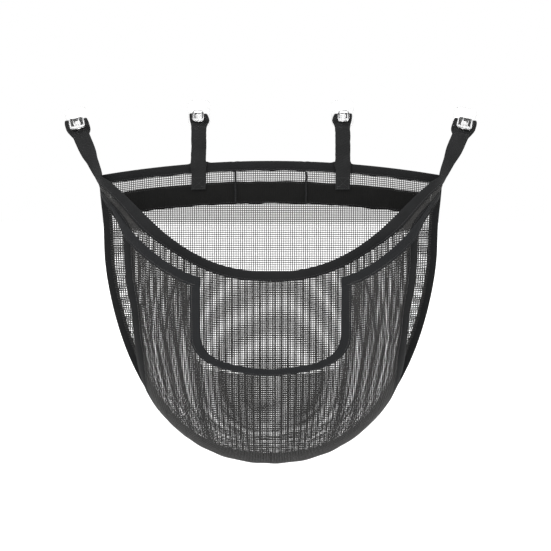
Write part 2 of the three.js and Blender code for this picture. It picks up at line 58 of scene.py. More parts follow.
# Bag outline and depths, as in the solids, in millimetres
HALF_WIDTH = 224
BODY_HEIGHT = 378
OUTLINE_POWER = 2.35
ARCH_RISE = 19
HANG_DROP = 58
CORNER_Z = -HANG_DROP - ARCH_RISE
FOOT_Z = CORNER_Z - BODY_HEIGHT
SEAM_BASE_DEPTH = 6
SIDE_DEPTH = 88
SIDE_INSET = 37
BELLY_DEPTH = 114
MOUTH_DROP = 113.5
MOUTH_REACH = 4
SEAM_START_DROP = 22
POCKET_ROOM = 44
POCKET_SEAM_ROOM = 3.6
CUTOUT_HALF_WIDTH = 85.5
CUTOUT_DROP = 229
CUTOUT_CORNER = 40
CUTOUT_TAPE_WIDTH = 12.5
CUTOUT_FOOT_WIDTH = 8.5
SLOPE_DROP = 118
SLOPE_RISE = 71
SLOPE_OUTER_X = 190
TAPE_WIDTH = 12.5
TAPE_THICKNESS = 3
BACK_DEPTH = 2.4
BAND_DROP = 26.3
BAND_HEIGHT = 29
BAND_DEPTH = 4.1
BAND_THICKNESS = 1.2
STAY_OFFSET = 46
STAY_DEPTH = 5.75
STAY_SIZE = (2.9, 0.95)
SEAM_TAPE_WIDTH = 14.5
SEAM_TAPE_LAP = 2
GUSSET_FLAT = 0.9
GUSSET_TURN = (0.1, 0.6, 0.2)

# How the outline and the cloth bend, as shares of the bag's height
SEAM_LEAVES = (0.02, 0.2)
SEAM_RETURNS = (0.4, 0.85)
NIP = 3.2
NIP_PLACE = (0.17, 0.1)
TURNS_UNDER = (0.66, 0.88)
SEAM_TAPE_SPREAD = 10.5
SEAM_TAPE_SPREAD_PLACE = (0.645, 0.09)
CLOTH_RISE = 22
LEAST_DRAW = 0.72
# Height, spacing across, spacing up and start of each slow fold
SLACK_FOLDS = [(1.5, 21, 37, 0), (1.1, 12.5, -46, 1.7), (0.8, 60, 17, 0)]

# Straps, loops and hooks
STRAP_WIDTH = 20
STRAP_THICKNESS = 1.6
INNER_HOOK_X = 93
OUTER_HOOK_X = 250
OUTER_HOOK_DROP = 9.5
OUTER_TILT = math.radians(12)
STRAP_TOP = -8.8
STRAP_Y = -9.5
TAIL_Y = -6.0
LOOP_DEPTH = 7.2
LOOP_THICKNESS = 1.7
# Place, height and tilt of each hanger
HANGERS = {
    "outer_left": (-OUTER_HOOK_X, -OUTER_HOOK_DROP, OUTER_TILT),
    "inner_left": (-INNER_HOOK_X, 0, 0),
    "inner_right": (INNER_HOOK_X, 0, 0),
    "outer_right": (OUTER_HOOK_X, -OUTER_HOOK_DROP, -OUTER_TILT),
}

# Net, tape and thread
NET_PITCH = 2.85
GUSSET_PITCH = 3.3
STRAND = {"Strand width": 1.02 * MM, "Strand height": 0.64 * MM, "Crossing lift": 0.26 * MM}
STITCH_PITCH = 3.2
LONG_STITCH = {"Pitch": STITCH_PITCH * MM, "Stitch length": 2.7 * MM, "Thread": 0.5 * MM}
FINE_STITCH = {"Pitch": 2.2 * MM, "Stitch length": 1.8 * MM, "Thread": 0.42 * MM}
TACK_STITCH = {"Pitch": 0.8 * MM, "Stitch length": 1.5 * MM, "Thread": 0.45 * MM}


def smoothstep(value, low, high):
    share = np.clip((value - low) / (high - low), 0, 1)
    return share * share * (3 - 2 * share)


def bell(value, centre, width):
    return np.exp(-(((value - centre) / width) ** 2))


def unit(vectors):
    return vectors / np.maximum(np.linalg.norm(vectors, axis=-1, keepdims=True), 1e-12)


# Curves and surfaces of the bag
def height_share(z):
    return np.clip((CORNER_Z - z) / BODY_HEIGHT, 0, 1)


def arch_z(x):
    return -HANG_DROP - ARCH_RISE * (x / HALF_WIDTH) ** 2


def seam_bump(share):
    return smoothstep(share, *SEAM_LEAVES) * (1 - smoothstep(share, *SEAM_RETURNS))


def seam_depth(share):
    return SEAM_BASE_DEPTH + SIDE_DEPTH * seam_bump(share) ** 0.8


def nip(share):
    """How far the cloth is drawn in just below the top corners."""
    return NIP * bell(share, *NIP_PLACE)


def outline(share):
    angle = math.pi * np.asarray(share, float)
    across = np.abs(np.cos(angle)) ** (2 / OUTLINE_POWER)
    down = np.maximum(np.sin(angle), 0) ** (2 / OUTLINE_POWER)
    reach = HALF_WIDTH * across - nip(down) * smoothstep(across, 0.1, 0.5)
    return np.stack([-np.sign(np.cos(angle)) * reach, CORNER_Z - BODY_HEIGHT * down], -1)


def half_width(share):
    return HALF_WIDTH * np.maximum(1 - share**OUTLINE_POWER, 0) ** (1 / OUTLINE_POWER) - nip(share)


def seam_line(share):
    points = outline(share)
    points[..., 0] -= np.sign(points[..., 0]) * SIDE_INSET * seam_bump(height_share(points[..., 1]))
    return points


def front_half_width(share):
    return np.maximum(half_width(share) - SIDE_INSET * seam_bump(share), 0.3)


def front_across(x, share):
    return np.minimum(np.abs(x) / front_half_width(share), 1)


def slack(x, z, across):
    """Slow uneven folds of cloth that hangs empty, dying out towards the side seams."""
    folds = sum(high * np.sin(x / wide + z / tall + start) for high, wide, tall, start in SLACK_FOLDS)
    return folds * (1 - across**2)


def front_depth(x, z, folds=1):
    share = height_share(z)
    across = front_across(x, share)
    centre = SEAM_BASE_DEPTH + BELLY_DEPTH * np.sqrt(1 - share**5)
    seam = seam_depth(share)
    full = seam + np.maximum(centre - seam, 0) * (1 - across**2) ** 0.6
    return full + slack(x, z, across) * (1 - share**8) * folds


def pocket_depth(x, z, folds=1):
    share = height_share(z)
    fullness = ((1 - front_across(x, share) ** 2) * (1 - share**6)) ** 1.1
    return front_depth(x, z, folds) + POCKET_SEAM_ROOM + POCKET_ROOM * fullness


def mouth_z(x):
    share = np.minimum(np.abs(x) / HALF_WIDTH, 1)
    return CORNER_Z - MOUTH_DROP * (1 - share**2.5) ** 1.75


def slope_z(x):
    share = np.maximum(np.abs(x) - CUTOUT_HALF_WIDTH, 0) / (SLOPE_OUTER_X - CUTOUT_HALF_WIDTH)
    return CORNER_Z - SLOPE_DROP + SLOPE_RISE * (0.38 * share + 0.62 * share**2)


def back_depth(x, z, folds=1):
    return np.full(np.shape(x), BACK_DEPTH)


def level(x, z, depth):
    """Points at a depth from the wall."""
    return np.stack(np.broadcast_arrays(x, -depth, z), -1)


def lifted(plane, depth):
    """Plane points (x, z) moved out to a surface."""
    x, z = plane[..., 0], plane[..., 1]
    return level(x, z, depth(x, z))


def inward(points):
    """Unit plane directions to the left of a plane line."""
    along = unit(np.gradient(points, axis=0))
    return np.stack([-along[:, 1], along[:, 0]], -1)


def summed(steps, axis=0):
    """Running sum that starts at 0."""
    start = np.zeros_like(np.take(steps, [0], axis))
    return np.concatenate([start, np.cumsum(steps, axis=axis)], axis=axis)


def run_of(points):
    """Distance along a line at each of its points."""
    return summed(np.linalg.norm(np.diff(points, axis=0), axis=1))


def read_off(places, known, points):
    return np.stack([np.interp(places, known, points[:, i]) for i in range(points.shape[1])], -1)


def evenly(points, step, guide=None):
    """The same line with points a step apart, measured along the line itself or along a guide."""
    points = np.asarray(points, float)
    length = run_of(points if guide is None else guide)
    count = max(int(round(length[-1] / step)), 2)
    return read_off(np.linspace(0, length[-1], count + 1), length, points)


def resampled(points, count):
    return read_off(np.linspace(0, 1, count), np.linspace(0, 1, len(points)), points)


def arc(a, b, c, t):
    """Bend from a to c whose ends point at b."""
    return a * (1 - t) ** 2 + b * 2 * t * (1 - t) + c * t**2


def bezier(points, count):
    t = np.linspace(0, 1, count)[:, None]
    a, b, c, d = (np.array(p, float) for p in points)
    return a * (1 - t) ** 3 + b * 3 * t * (1 - t) ** 2 + c * 3 * t**2 * (1 - t) + d * t**3


def smooth_line(points):
    """Smooth line through points: a cubic through each four neighbours."""
    padded = np.vstack([2 * points[0] - points[1], points, 2 * points[-1] - points[-2]])
    t = np.linspace(0, 1, 12, endpoint=False)[:, None]
    parts = []
    for a, b, c, d in zip(padded, padded[1:], padded[2:], padded[3:]):
        bent = (2 * a - 5 * b + 4 * c - d) * t**2 + (3 * b - a - 3 * c + d) * t**3
        parts.append(0.5 * (2 * b + (c - a) * t + bent))
    return evenly(np.vstack(parts + [points[-1:]]), 0.4)


def waver(places, seed, height, length=60):
    """Slow uneven wave along a line, from a few fixed sines."""
    draw = np.random.default_rng(seed)
    total = np.zeros_like(places)
    for part in range(1, 5):
        turn, speed = draw.uniform(0, 2 * math.pi), draw.uniform(0.7, 1.4)
        total += np.sin(places * 2 * math.pi * part * speed / length + turn) / part
    return total * height / 1.6


# Meshes
def add_object(data):
    made = bpy.data.objects.new(data.name, data)
    scene.collection.objects.link(made)
    return made


def swept(name, loops, finish, along=None):
    """Closed body with flat ends through equal closed loops, (stations, points, 3) in millimetres."""
    stations, count = loops.shape[:2]
    index = np.arange(stations * count).reshape(stations, count)
    after = np.roll(index, -1, axis=1)
    quads = np.stack([index[:-1], after[:-1], after[1:], index[1:]], -1).reshape(-1, 4)
    if along is None:
        along = run_of(loops.mean(axis=1))
    ring = loops[stations // 2]
    round_it = run_of(np.vstack([ring, ring[:1]]))
    run = np.stack(np.meshgrid(along, round_it, indexing="ij"), -1) * MM
    uv = np.stack([run[:-1, :-1], run[:-1, 1:], run[1:, 1:], run[1:, :-1]], 2).reshape(-1, 2)
    mesh = bpy.data.meshes.new(name)
    faces = quads.tolist() + [index[0][::-1].tolist(), index[-1].tolist()]
    mesh.from_pydata((loops.reshape(-1, 3) * MM).tolist(), [], faces)
    mesh.polygons.foreach_set("use_smooth", [True] * len(mesh.polygons))
    uv = np.vstack([uv, run[0, :-1], run[-1, :-1]])
    mesh.uv_layers.new(name="Weave").data.foreach_set("uv", uv.ravel())
    mesh.update()
    if signed_volume(mesh) < 0:
        mesh.flip_normals()
    mesh.materials.append(finish)
    return add_object(mesh)


def signed_volume(mesh):
    mesh.calc_loop_triangles()
    points = np.empty(len(mesh.vertices) * 3)
    mesh.vertices.foreach_get("co", points)
    corners = np.empty(len(mesh.loop_triangles) * 3, int)
    mesh.loop_triangles.foreach_get("vertices", corners)
    a, b, c = points.reshape(-1, 3)[corners.reshape(-1, 3)].transpose(1, 0, 2)
    return float((a * np.cross(b, c)).sum())


def grid_normals(grid):
    """Unit normals, towards the room, of a grid of cloth points."""
    normal = unit(np.cross(np.gradient(grid, axis=1), np.gradient(grid, axis=0)))
    return -normal if normal[..., 1].mean() > 0 else normal


def cloth_strip(name, grid, thickness, finish):
    """Closed strip of cloth, (rows, columns, 3), rounded along its two long edges."""
    share = np.linspace(0, 1, len(grid))
    half = thickness / 2 * (1 - 0.75 * np.abs(2 * share - 1) ** 12)[:, None, None]
    lift = grid_normals(grid) * half
    return swept(name, np.concatenate([grid + lift, (grid - lift)[::-1]]).transpose(1, 0, 2), finish)


# Node trees
def node_tree(name, inputs):
    tree = bpy.data.node_groups.new(name, "GeometryNodeTree")
    tree.interface.new_socket("Geometry", in_out="INPUT", socket_type="NodeSocketGeometry")
    for label, value in inputs.items():
        tree.interface.new_socket(label, in_out="INPUT", socket_type="NodeSocketFloat").default_value = value
    tree.interface.new_socket("Geometry", in_out="OUTPUT", socket_type="NodeSocketGeometry")
    return tree


def add_node(tree, kind, links=None, **settings):
    """Node with its settings. links maps an input name or number to a value or to another node's output."""
    node = tree.nodes.new(kind)
    for key, value in settings.items():
        setattr(node, key, value)
    for key, value in (links or {}).items():
        if isinstance(value, bpy.types.NodeSocket):
            tree.links.new(value, node.inputs[key])
        else:
            node.inputs[key].default_value = value
    return node


def calc(tree, operation, *values, **settings):
    """Output of a node that works out a number."""
    links = dict(enumerate(values))
    return add_node(tree, "ShaderNodeMath", links, operation=operation, **settings).outputs[0]


def shape_node(tree, kind, links=None, **settings):
    """First output of a node for geometry, its kind given without the prefix."""
    return add_node(tree, f"GeometryNode{kind}", links, **settings).outputs[0]


def named(tree, label, kind):
    return shape_node(tree, "InputNamedAttribute", {"Name": label}, data_type=kind)


def finished(tree, geometry, finish):
    """The end of a tree: real smooth geometry in its material."""
    real = shape_node(tree, "RealizeInstances", {"Geometry": geometry})
    smooth = shape_node(tree, "SetShadeSmooth", {"Geometry": real})
    painted = shape_node(tree, "SetMaterial", {"Geometry": smooth, "Material": finish})
    add_node(tree, "NodeGroupOutput", {"Geometry": painted})
    return tree


def run_tree(made, tree, values=None):
    """The object's mesh becomes what the tree makes of it."""
    modifier = made.modifiers.new(tree.name, "NODES")
    modifier.node_group = tree
    names = {item.name: item.identifier for item in tree.interface.items_tree if item.in_out == "INPUT"}
    for label, value in (values or {}).items():
        modifier[names[label]] = value
    result = bpy.data.meshes.new_from_object(made.evaluated_get(bpy.context.evaluated_depsgraph_get()))
    made.modifiers.remove(modifier)
    old = made.data
    made.data = result
    bpy.data.meshes.remove(old)
    result.name = made.name
    return made


def net_tree(finish):
    """Warp and weft strands along the edges of a lattice, each passing over and under the others."""
    tree = node_tree("Square net", STRAND)
    source = add_node(tree, "NodeGroupInput").outputs
    normal = named(tree, "cloth_normal", "FLOAT_VECTOR")
    lift = calc(tree, "MULTIPLY", named(tree, "crossing", "FLOAT"), source["Crossing lift"])
    size = add_node(tree, "ShaderNodeCombineXYZ", {
        "X": source["Strand height"], "Y": source["Strand width"], "Z": 1}).outputs[0]
    ring = shape_node(tree, "CurvePrimitiveCircle", {"Resolution": 4, "Radius": 0.5})
    profile = shape_node(tree, "Transform", {"Geometry": ring, "Scale": size})
    parts = add_node(tree, "GeometryNodeSeparateGeometry", {
        "Geometry": source["Geometry"], "Selection": named(tree, "warp", "BOOLEAN")}, domain="EDGE")
    joined = add_node(tree, "GeometryNodeJoinGeometry")
    for strands, way in ((parts.outputs["Selection"], 1), (parts.outputs["Inverted"], -1)):
        curve = shape_node(tree, "MeshToCurve", {"Mesh": strands})
        side = calc(tree, "MULTIPLY", lift, way)
        shift = add_node(tree, "ShaderNodeVectorMath", {0: normal, "Scale": side}, operation="SCALE")
        turned = shape_node(tree, "SetCurveNormal", {"Curve": curve, "Normal": normal}, mode="FREE")
        moved = shape_node(tree, "SetPosition", {"Geometry": turned, "Offset": shift.outputs[0]})
        tube = shape_node(tree, "CurveToMesh", {"Curve": moved, "Profile Curve": profile, "Fill Caps": True})
        tree.links.new(tube, joined.inputs[0])
    return finished(tree, joined.outputs[0], finish)


def stitch_tree(finish):
    """Run of short thread stitches along lines, each lying on the cloth."""
    tree = node_tree("Lockstitch", LONG_STITCH)
    source = add_node(tree, "NodeGroupInput").outputs
    curve = shape_node(tree, "MeshToCurve", {"Mesh": source["Geometry"]})
    points = add_node(tree, "GeometryNodeCurveToPoints", {
        "Curve": curve, "Length": source["Pitch"]}, mode="LENGTH")
    align = "FunctionNodeAlignRotationToVector"
    along = add_node(tree, align, {"Vector": points.outputs["Tangent"]}, axis="X").outputs[0]
    flat = add_node(tree, align, {"Rotation": along, "Vector": named(tree, "cloth_normal", "FLOAT_VECTOR")},
                    axis="Z", pivot_axis="X").outputs[0]
    size = add_node(tree, "ShaderNodeCombineXYZ", {
        "X": source["Stitch length"], "Y": source["Thread"], "Z": source["Thread"]}).outputs[0]
    grain = shape_node(tree, "MeshUVSphere", {"Segments": 6, "Rings": 5, "Radius": 0.5})
    lying = shape_node(tree, "Transform", {"Geometry": grain, "Rotation": (0, math.pi / 2, 0)})
    placed = shape_node(tree, "InstanceOnPoints", {
        "Points": points.outputs[0], "Instance": lying, "Rotation": flat, "Scale": size})
    return finished(tree, placed, finish)


# Materials
def shader_of(made):
    return made.node_tree.nodes["Principled BSDF"]


def material(name, colour, roughness, **sockets):
    made = bpy.data.materials.new(name)
    made.use_nodes = True
    sockets = {"Base Color": (*colour, 1), "Roughness": roughness, **sockets}
    for label, value in sockets.items():
        shader_of(made).inputs[label.replace("_", " ")].default_value = value
    return made


def noise(made, scale, detail, **links):
    """Cloudy shade fixed to the object."""
    place = add_node(made.node_tree, "ShaderNodeTexCoord").outputs["Object"]
    links = {"Vector": place, "Scale": scale, "Detail": detail, **links}
    return add_node(made.node_tree, "ShaderNodeTexNoise", links).outputs[0]


def feed(made, label, kind, links, output=0, **settings):
    """A new node feeds one of the shader's sockets."""
    node = add_node(made.node_tree, kind, links, **settings)
    made.node_tree.links.new(node.outputs[output], shader_of(made).inputs[label])


def mix(made, share, low, high):
    """The colour runs from low to high by a share from another node."""
    links = {0: share, 6: (*low, 1), 7: (*high, 1)}
    feed(made, "Base Color", "ShaderNodeMix", links, 2, data_type="RGBA")


def vary_roughness(made, share, low, high):
    feed(made, "Roughness", "ShaderNodeMapRange", {0: share, 3: low, 4: high})


def bump(made, height, strength, distance):
    links = {"Strength": strength, "Distance": distance * MM, "Height": height}
    feed(made, "Normal", "ShaderNodeBump", links)


def woven(name, colour, light, along, across, depth, sheen=0.04, twill=0.0):
    """Woven cloth on the piece's own run: ribs along and across it, with a slow change of shade."""
    made = material(name, colour, 0.85, Sheen_Weight=sheen, Sheen_Roughness=0.4, Specular_IOR_Level=0.16)
    tree = made.node_tree
    run = add_node(tree, "ShaderNodeUVMap", uv_map="Weave").outputs[0]
    apart = add_node(tree, "ShaderNodeSeparateXYZ", {0: run}).outputs
    leaned = calc(tree, "MULTIPLY_ADD", apart[1], twill, apart[0])
    waves = [calc(tree, "SINE", calc(tree, "MULTIPLY", place, 2 * math.pi / (pitch * MM)))
             for place, pitch in ((leaned, along), (apart[1], across))]
    ribs = calc(tree, "MULTIPLY_ADD", calc(tree, "MULTIPLY", *waves), 0.5, 0.5)
    cloud, fuzz = noise(made, 55, 3), noise(made, 2600, 2)
    shade = calc(tree, "MULTIPLY_ADD", cloud, 0.5, -0.06)
    shade = calc(tree, "MULTIPLY_ADD", ribs, 0.4, shade)
    mix(made, calc(tree, "MULTIPLY_ADD", fuzz, 0.3, shade, use_clamp=True), colour, light)
    bump(made, calc(tree, "MULTIPLY_ADD", fuzz, 0.35, ribs), 0.8, depth)
    return made


def coated(name, colour, light):
    """Coated net yarn, slightly glossy and uneven."""
    made = material(name, colour, 0.5, Coat_Weight=0.1, Coat_Roughness=0.35)
    cloud, grain = noise(made, 90, 4), noise(made, 3200, 2)
    both = calc(made.node_tree, "MULTIPLY", cloud, grain)
    share = add_node(made.node_tree, "ShaderNodeMapRange", {0: both, 1: 0.12, 2: 0.42}, clamp=True).outputs[0]
    mix(made, share, colour, light)
    vary_roughness(made, cloud, 0.42, 0.62)
    bump(made, grain, 0.5, 0.08)
    return made


def clear(name, roughness, index):
    """Clear moulded plastic with faint flow marks."""
    made = material(name, (1, 1, 1), roughness, Transmission_Weight=1.0, IOR=index)
    vary_roughness(made, noise(made, 2400, 2), roughness * 0.6, roughness * 1.5)
    bump(made, noise(made, 140, 2, Distortion=1.2), 0.25, 0.4)
    return made


def highlight_painted(name, colour):
    """Thick moulded edges of the clear hooks, painted near white and slightly clouded: a painted highlight
    that stands in for the white highlights of clear plastic.
    """
    made = material(name, colour, 0.22, Transmission_Weight=0.25, IOR=1.49, Specular_IOR_Level=0.6)
    cloud = noise(made, 420, 3)
    mix(made, cloud, colour, (1, 1, 1))
    vary_roughness(made, cloud, 0.14, 0.34)
    return made


EDGE_TAPE = woven("Charcoal edge tape", (0.0058, 0.0060, 0.0064), (0.0195, 0.0200, 0.0208), 1.1, 2.2, 0.16,
                  sheen=0.01)
POCKET_TAPE = woven("Grey pocket tape", (0.0070, 0.0075, 0.0082), (0.0230, 0.0242, 0.0260), 1.1, 2.2, 0.16,
                    sheen=0.03)
BAND_CLOTH = woven("Black band cloth", (0.0020, 0.0021, 0.0021), (0.0110, 0.0110, 0.0105), 2.85, 1.3, 0.2)
WEBBING = woven("Charcoal webbing", (0.0040, 0.0041, 0.0043), (0.0330, 0.0336, 0.0342), 2.1, 2.5, 0.35,
                twill=0.5)
NET_YARN = coated("Black coated yarn", (0.008, 0.008, 0.008), (0.034, 0.032, 0.030))
THREAD = coated("Black thread", (0.012, 0.012, 0.013), (0.045, 0.045, 0.047))
CLEAR_PLASTIC = clear("Clear moulded plastic", 0.03, 1.45)
CLEAR_GEL = clear("Clear adhesive gel", 0.05, 1.36)
# Lip and ribs of the hooks: their near-white colour is a painted highlight, not lit clear plastic
HIGHLIGHT_PAINTED_PLASTIC = highlight_painted("Moulded edge with painted highlight", (0.93, 0.94, 0.95))
STITCHES = stitch_tree(THREAD)
NET = net_tree(NET_YARN)

# Folded tapes. Each pair is a share of the width from the fold and a share of half the thickness.
TAPE_SHARES = [
    (1, 0.22), (1.012, 0.6), (0.99, 0.78), (0.93, 0.86), (0.86, 0.72), (0.84, 0.66), (0.82, 0.72),
    (0.74, 0.88), (0.55, 0.96), (0.35, 1.0), (0.18, 0.98), (0.08, 0.86), (0.025, 0.52), (0, 0),
]
TAPE_RING = TAPE_SHARES + [(a, -b) for a, b in TAPE_SHARES[-2::-1]] + [(0.97, 0)]
TAPE_REACH = 1.02
TAPE_ROWS = 17
STITCH_SHARE = 0.84
PUCKER = 0.16
STITCH_LIFT = TAPE_THICKNESS / 2 * 0.66 - 0.05


def tape(name, edge, foot, depth, finish, seed):
    """Tape folded over an edge line, its selvedges at the foot line. Plane points in, body and thread out."""
    both = evenly(np.hstack([edge, foot]), STITCH_PITCH / 3)
    rows = np.linspace(0, TAPE_REACH, TAPE_ROWS + 1)[:, None, None]
    base = lifted(both[:, :2] * (1 - rows) + both[:, 2:] * rows, depth)
    normal = grid_normals(base)
    places = run_of(base[TAPE_ROWS // 2 + 1])
    pucker = 0.5 + 0.5 * np.cos(2 * math.pi * places / STITCH_PITCH)
    swell = 1 + waver(places, seed, 0.09)
    loops = []
    for a, b in TAPE_RING:
        row = a / TAPE_REACH * TAPE_ROWS
        low = min(int(row), TAPE_ROWS - 1)
        part = row - low
        out = unit(normal[low] * (1 - part) + normal[low + 1] * part)
        drawn = math.copysign(1, b) * bell(a, STITCH_SHARE, 0.07) * pucker * PUCKER * bool(b)
        ripple = waver(places, seed + 7, 0.22, 34) * (1 - a) * (1 - a)
        height = b * TAPE_THICKNESS / 2 * swell - drawn + ripple
        loops.append(base[low] * (1 - part) + base[low + 1] * part + out * height[:, None])
    made = [swept(name, np.stack(loops, 1), finish, places)]
    low = int(STITCH_SHARE / TAPE_REACH * TAPE_ROWS)
    for side, way in (("front", 1), ("back", -1)):
        line = base[low] + normal[low] * (way * STITCH_LIFT)
        made.append(sewn(f"{name}_thread_{side}", [(line[2:-2], normal[low][2:-2] * way)]))
    return made


def cloth_object(name, points, edges, normals):
    """Bare lattice or line on a cloth, with the cloth's normals, for a tree to dress."""
    mesh = bpy.data.meshes.new(name)
    mesh.from_pydata((points * MM).tolist(), edges, [])
    mesh.attributes.new("cloth_normal", "FLOAT_VECTOR", "POINT").data.foreach_set("vector", normals.ravel())
    return add_object(mesh)


def sewn(name, lines, values=None):
    """Stitches along lines, each given as points and cloth normals."""
    points, normals = (np.vstack(part) for part in zip(*lines))
    last = set(np.cumsum([len(line) for line, _ in lines]) - 1)
    edges = [(i, i + 1) for i in range(len(points)) if i not in last]
    return run_tree(cloth_object(name, points, edges, normals), STITCHES, values)


def facing(line):
    """A line of stitches on cloth that faces the room."""
    return line, np.broadcast_to(TO_ROOM, line.shape)


# Net panels
def net_panel(name, points, normals, kept):
    """Net of strands on a lattice of points, (rows, columns, 3), where kept is true."""
    number = np.full(kept.shape, -1)
    number[kept] = np.arange(kept.sum())
    weft = kept[:, :-1] & kept[:, 1:]
    warp = kept[:-1] & kept[1:]
    edges = np.vstack([
        np.stack([number[:, :-1][weft], number[:, 1:][weft]], -1),
        np.stack([number[:-1][warp], number[1:][warp]], -1),
    ])
    made = cloth_object(name, points[kept], edges.tolist(), normals[kept])
    row, column = np.nonzero(kept)
    crossing = np.where((row + column) % 2, 1.0, -1.0)
    made.data.attributes.new("crossing", "FLOAT", "POINT").data.foreach_set("value", crossing)
    is_warp = np.arange(len(edges)) >= weft.sum()
    made.data.attributes.new("warp", "BOOLEAN", "EDGE").data.foreach_set("value", is_warp)
    run_tree(made, NET)
    return made


def halves(name, points, inside):
    """Left and right half of a net, so that neither grows too large. They meet at the middle column."""
    middle = points.shape[1] // 2
    column = np.arange(points.shape[1])
    return [net_panel(f"{name}_{side}", points, grid_normals(points), inside & kept)
            for side, kept in (("left", column <= middle), ("right", column >= middle))]


def cloth_lattice(depth, top, bottom, rise, width, least_draw):
    """Plane points of a cloth's yarn crossings, a pitch apart over the surface.

    Rows run from top to bottom down the middle and rise towards the sides. Below the widest row the columns
    draw together with the narrowing cloth, down to a least share of the pitch.
    """
    down = np.linspace(top, bottom, 4000)
    length = summed(np.hypot(np.diff(depth(np.zeros_like(down), down, 0)), np.diff(down)))
    heights = np.interp(np.arange(0, length[-1], NET_PITCH), length, down)[:, None]
    x = np.broadcast_to(np.linspace(0, HALF_WIDTH + 2, 1200), (len(heights), 1200))
    lift = heights + rise(x, heights)
    run = summed(np.sqrt(np.diff(x) ** 2 + np.diff(depth(x, lift, 0)) ** 2 + np.diff(lift) ** 2), 1)
    reach = np.where(x < width(height_share(lift)), run, 0).max(axis=1)
    draw = np.clip(reach / reach.max(), least_draw, 1)
    draw[:reach.argmax()] = 1
    steps = np.arange(int((reach / draw).max() / NET_PITCH) + 3) * NET_PITCH
    side = np.stack([np.interp(steps * by, row, place) for by, row, place in zip(draw, run, x)])
    x = np.hstack([-side[:, :0:-1], side])
    return np.stack([x, heights + rise(np.abs(x), heights)], -1)


def share_at_drop(drop):
    return math.asin((drop / BODY_HEIGHT) ** (OUTLINE_POWER / 2)) / math.pi


SEAM_START = share_at_drop(SEAM_START_DROP)


def seam_distance(plane):
    """Distance of plane points to the side seam, measured on the front cloth."""
    seam = lifted(seam_line(np.linspace(SEAM_START, 1 - SEAM_START, 900)), front_depth)
    points = lifted(plane.reshape(-1, 2), front_depth)
    parts = np.array_split(points, 60)
    near = [np.linalg.norm(part[:, None] - seam[None], axis=2).min(axis=1) for part in parts]
    return np.concatenate(near).reshape(plane.shape[:-1])


def inset_by(points, normals, width, depth):
    """Plane points a tape's width, which may change along the tape, away across the surface."""
    steps = np.linspace(0, 1, 81) ** 2 * width.max()
    fan = points[:, None] + normals[:, None] * steps[None, :, None]
    covered = summed(np.linalg.norm(np.diff(lifted(fan, depth), axis=1), axis=2), 1)
    far = np.array([np.interp(wide, row, steps) for wide, row in zip(width, covered)])
    return points + normals * far[:, None]


def turned_under(plane):
    """1 at the foot of the bag, where the seams are drawn in under the belly, 0 from the middle upwards."""
    return smoothstep(height_share(plane[..., 1]), *TURNS_UNDER)


def back_panel():
    first = share_at_drop(TAPE_WIDTH + 0.5)
    edge = evenly(outline(np.linspace(first, 1 - first, 1200)), 1)
    width = (TAPE_WIDTH - 4 * turned_under(edge))[:, None]
    rim = tape("back_edge_tape", edge, edge + inward(edge) * width, back_depth, EDGE_TAPE, 1)
    x = np.linspace(-HALF_WIDTH, HALF_WIDTH, 1400)
    pulled = sum(bell(np.abs(x - s * INNER_HOOK_X), 9.5, 3.2) * 1.7 for s in (-1, 1))
    puckered = sum(bell(x, s * STAY_OFFSET, 7) * np.sin((x - s * STAY_OFFSET) / 1.6) for s in (-1, 1))
    top = np.stack([x, arch_z(x) + pulled + puckered * 0.25], -1)
    foot = np.stack([x, arch_z(x) - TAPE_WIDTH + puckered * 0.3 + waver(x, 21, 0.35, 50)], -1)
    head = tape("back_top_tape", top, foot, back_depth, EDGE_TAPE, 2)

    def rise(x, z):
        return -ARCH_RISE * (x / HALF_WIDTH) ** 2 * (1 - smoothstep(CORNER_Z - z, -10, 60))

    plane = cloth_lattice(back_depth, -HANG_DROP - 5, FOOT_Z + 5, rise, half_width, 1)
    x, z = plane[..., 0], plane[..., 1]
    inside = (z > FOOT_Z + 6) & (z < arch_z(x) - 3) & (np.abs(x) < half_width(height_share(z)) - 5)
    return rim, head, halves("back_net", lifted(plane, back_depth), inside)


def band_reach(drop):
    line = outline(np.linspace(0.0005, 0.49, 1500))
    inner = line + inward(line) * (TAPE_WIDTH + 2.1)
    return float(np.interp(CORNER_Z - drop, inner[::-1, 1], -inner[::-1, 0]))


def back_band():
    """Wide cloth band across the back, ribbed by the net behind it, with soft folds beside the stays."""
    high, low = band_reach(BAND_DROP), band_reach(BAND_DROP + BAND_HEIGHT)
    down = np.linspace(0, 1, 15)[:, None]
    x = np.linspace(-1, 1, 900) * (high + (low - high) * down)
    z = arch_z(x) - BAND_DROP - BAND_HEIGHT * down
    z += waver(x[0], 31, 0.5, 70) * (1 - down) + waver(x[0], 32, 0.6, 55) * down
    folds = sum(bell(x, s * STAY_OFFSET + t, 3.4) for s, t in ((-1, -7), (-1, 7), (1, -7), (1, 7)))
    belly = np.sin(math.pi * down)
    ribs = 0.14 * np.cos(2 * math.pi * x / NET_PITCH)
    depth = BAND_DEPTH + (0.35 * folds + 0.25 * waver(x[0], 33, 1.0, 38)) * belly
    depth += ribs * smoothstep(belly, 0, 0.5)
    grid = level(x, z, np.maximum(depth, BAND_DEPTH - 0.1))
    made = [cloth_strip("back_band_cloth", grid, BAND_THICKNESS, BAND_CLOTH)]
    for label, row in (("top", 1), ("foot", 13)):
        line = level(x[row], z[row], depth[row] + BAND_THICKNESS / 2 + 0.02)
        made.append(sewn(f"back_band_thread_{label}", [facing(line[4:-4])]))
    return made


